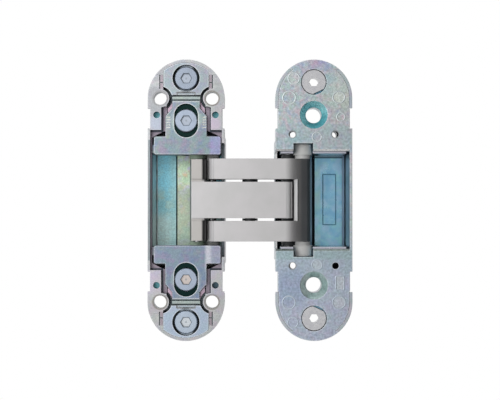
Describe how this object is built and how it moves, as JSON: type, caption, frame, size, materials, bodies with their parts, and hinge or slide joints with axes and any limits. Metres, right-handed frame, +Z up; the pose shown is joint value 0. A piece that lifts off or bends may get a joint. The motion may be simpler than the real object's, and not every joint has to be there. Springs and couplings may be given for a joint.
{
  "type": "concealed door hinge",
  "caption": "Concealed door hinge with two round-ended leaves joined by crossing arms that fold into both pockets, adjustable in depth, height and sideways.",
  "frame": {"origin": "middle of the frame leaf's screw pattern, on the leaf's front face", "axes": "+X from the frame leaf to the door leaf, +Y into the wood, +Z up along the pivots"},
  "size_m": [0.08, 0.0296, 0.11],
  "materials": {
    "frame_casting": "bright zinc-plated die casting",
    "frame_carrier": "bright zinc-plated die casting",
    "hook_casting": "bright zinc-plated die casting",
    "fork_casting": "satin nickel-look coating on a die casting",
    "middle_casting": "satin nickel-look coating on a die casting",
    "door_carrier": "blue passivated die casting",
    "door_casting": "zinc-plated die casting",
    "face_plate": "mottled zinc-plated die casting",
    "pin_steel": "ground steel",
    "screw_steel": "blue zinc-plated steel",
    "eccentric_steel": "zinc-plated steel",
    "roller_plastic": "moulded bearing plastic",
    "washer_plastic": "moulded black plastic",
    "spacer_plastic": "moulded bearing plastic"
  },
  "bodies": {
    "frame_leaf": {"frame_housing": "frame_casting"},
    "upper_depth_drive": {"upper_depth_screw": "screw_steel"},
    "lower_depth_drive": {"lower_depth_screw": "screw_steel"},
    "depth_carrier": {"upper_hook_block": "hook_casting", "lower_hook_block": "hook_casting", "upper_clamp_screw": "screw_steel", "lower_clamp_screw": "screw_steel"},
    "height_carrier": {"frame_cage": "frame_carrier", "frame_pivot_pin": "pin_steel", "upper_frame_spacer": "spacer_plastic", "lower_frame_spacer": "spacer_plastic"},
    "fork": {"fork_arm": "fork_casting", "cross_pin": "pin_steel", "door_slide_pin": "pin_steel", "upper_cross_washer": "washer_plastic", "lower_cross_washer": "washer_plastic"},
    "upper_door_wheel": {"upper_door_roller": "roller_plastic"},
    "lower_door_wheel": {"lower_door_roller": "roller_plastic"},
    "middle": {"middle_arm": "middle_casting", "frame_slide_pin": "pin_steel"},
    "upper_frame_wheel": {"upper_frame_roller": "roller_plastic"},
    "lower_frame_wheel": {"lower_frame_roller": "roller_plastic"},
    "side_carrier": {"door_cage": "door_carrier", "door_pivot_pin": "pin_steel", "upper_door_sleeve": "spacer_plastic", "lower_door_sleeve": "spacer_plastic"},
    "door_leaf": {"door_housing": "door_casting", "door_face_plate": "face_plate"},
    "upper_side_drive": {"upper_eccentric": "eccentric_steel"},
    "lower_side_drive": {"lower_eccentric": "eccentric_steel"}
  },
  "joints": [
    {"name": "depth_adjust", "type": "slide", "parent": "frame_leaf", "child": "depth_carrier", "axis": [0, 1, 0], "range_m": [-0.001, 0.001]},
    {"name": "height_adjust", "type": "slide", "parent": "depth_carrier", "child": "height_carrier", "axis": [0, 0, 1], "range_m": [-0.002, 0.002]},
    {"name": "fold", "type": "hinge", "parent": "height_carrier", "child": "fork", "pos_m": [0.0095, 0.01234, 0], "axis": [0, 0, -1], "range_deg": [0, 94.74]},
    {"name": "cross_pivot", "type": "hinge", "parent": "fork", "child": "middle", "pos_m": [0.025, 0.005, 0], "axis": [0, 0, -1], "range_deg": [-9.47, 0]},
    {"name": "door_pivot", "type": "hinge", "parent": "middle", "child": "side_carrier", "pos_m": [0.0405, 0.01234, 0], "axis": [0, 0, -1], "range_deg": [0, 94.74]},
    {"name": "lateral_adjust", "type": "slide", "parent": "side_carrier", "child": "door_leaf", "axis": [1, 0, 0], "range_m": [-0.001, 0.001]},
    {"name": "upper_depth_turn", "type": "hinge", "parent": "frame_leaf", "child": "upper_depth_drive", "pos_m": [0, 0, 0.0477], "axis": [0, 1, 0], "range_deg": [-450.1, 450.1]},
    {"name": "upper_door_wheel_turn", "type": "hinge", "parent": "fork", "child": "upper_door_wheel", "pos_m": [0.0459, 0.0075, 0], "axis": [0, 0, -1], "range_deg": [0, 85.26]},
    {"name": "upper_frame_wheel_turn", "type": "hinge", "parent": "middle", "child": "upper_frame_wheel", "pos_m": [0.0041, 0.0075, 0], "axis": [0, 0, -1], "range_deg": [-85.26, 0]},
    {"name": "upper_side_turn", "type": "hinge", "parent": "door_leaf", "child": "upper_side_drive", "pos_m": [0.05, 0, 0.0462], "axis": [0, 1, 0], "range_deg": [-28.75, 28.75]},
    {"name": "lower_depth_turn", "type": "hinge", "parent": "frame_leaf", "child": "lower_depth_drive", "pos_m": [0, 0, -0.0477], "axis": [0, 1, 0], "range_deg": [-450.1, 450.1]},
    {"name": "lower_door_wheel_turn", "type": "hinge", "parent": "fork", "child": "lower_door_wheel", "pos_m": [0.0459, 0.0075, 0], "axis": [0, 0, -1], "range_deg": [0, 85.26]},
    {"name": "lower_frame_wheel_turn", "type": "hinge", "parent": "middle", "child": "lower_frame_wheel", "pos_m": [0.0041, 0.0075, 0], "axis": [0, 0, -1], "range_deg": [-85.26, 0]},
    {"name": "lower_side_turn", "type": "hinge", "parent": "door_leaf", "child": "lower_side_drive", "pos_m": [0.05, 0, -0.0462], "axis": [0, 1, 0], "range_deg": [-28.75, 28.75]}
  ],
  "couplings": [
    {"joint": "cross_pivot", "follows": "fold", "ratio": -0.1},
    {"joint": "door_pivot", "follows": "fold", "ratio": 1},
    {"joint": "upper_depth_turn", "follows": "depth_adjust", "rad_per_m": 7854},
    {"joint": "upper_door_wheel_turn", "follows": "fold", "ratio": 0.9},
    {"joint": "upper_frame_wheel_turn", "follows": "fold", "ratio": -0.9},
    {"joint": "upper_side_turn", "follows": "lateral_adjust", "rad_per_m": -500},
    {"joint": "lower_depth_turn", "follows": "depth_adjust", "rad_per_m": 7854},
    {"joint": "lower_door_wheel_turn", "follows": "fold", "ratio": 0.9},
    {"joint": "lower_frame_wheel_turn", "follows": "fold", "ratio": -0.9},
    {"joint": "lower_side_turn", "follows": "lateral_adjust", "rad_per_m": 500}
  ]
}
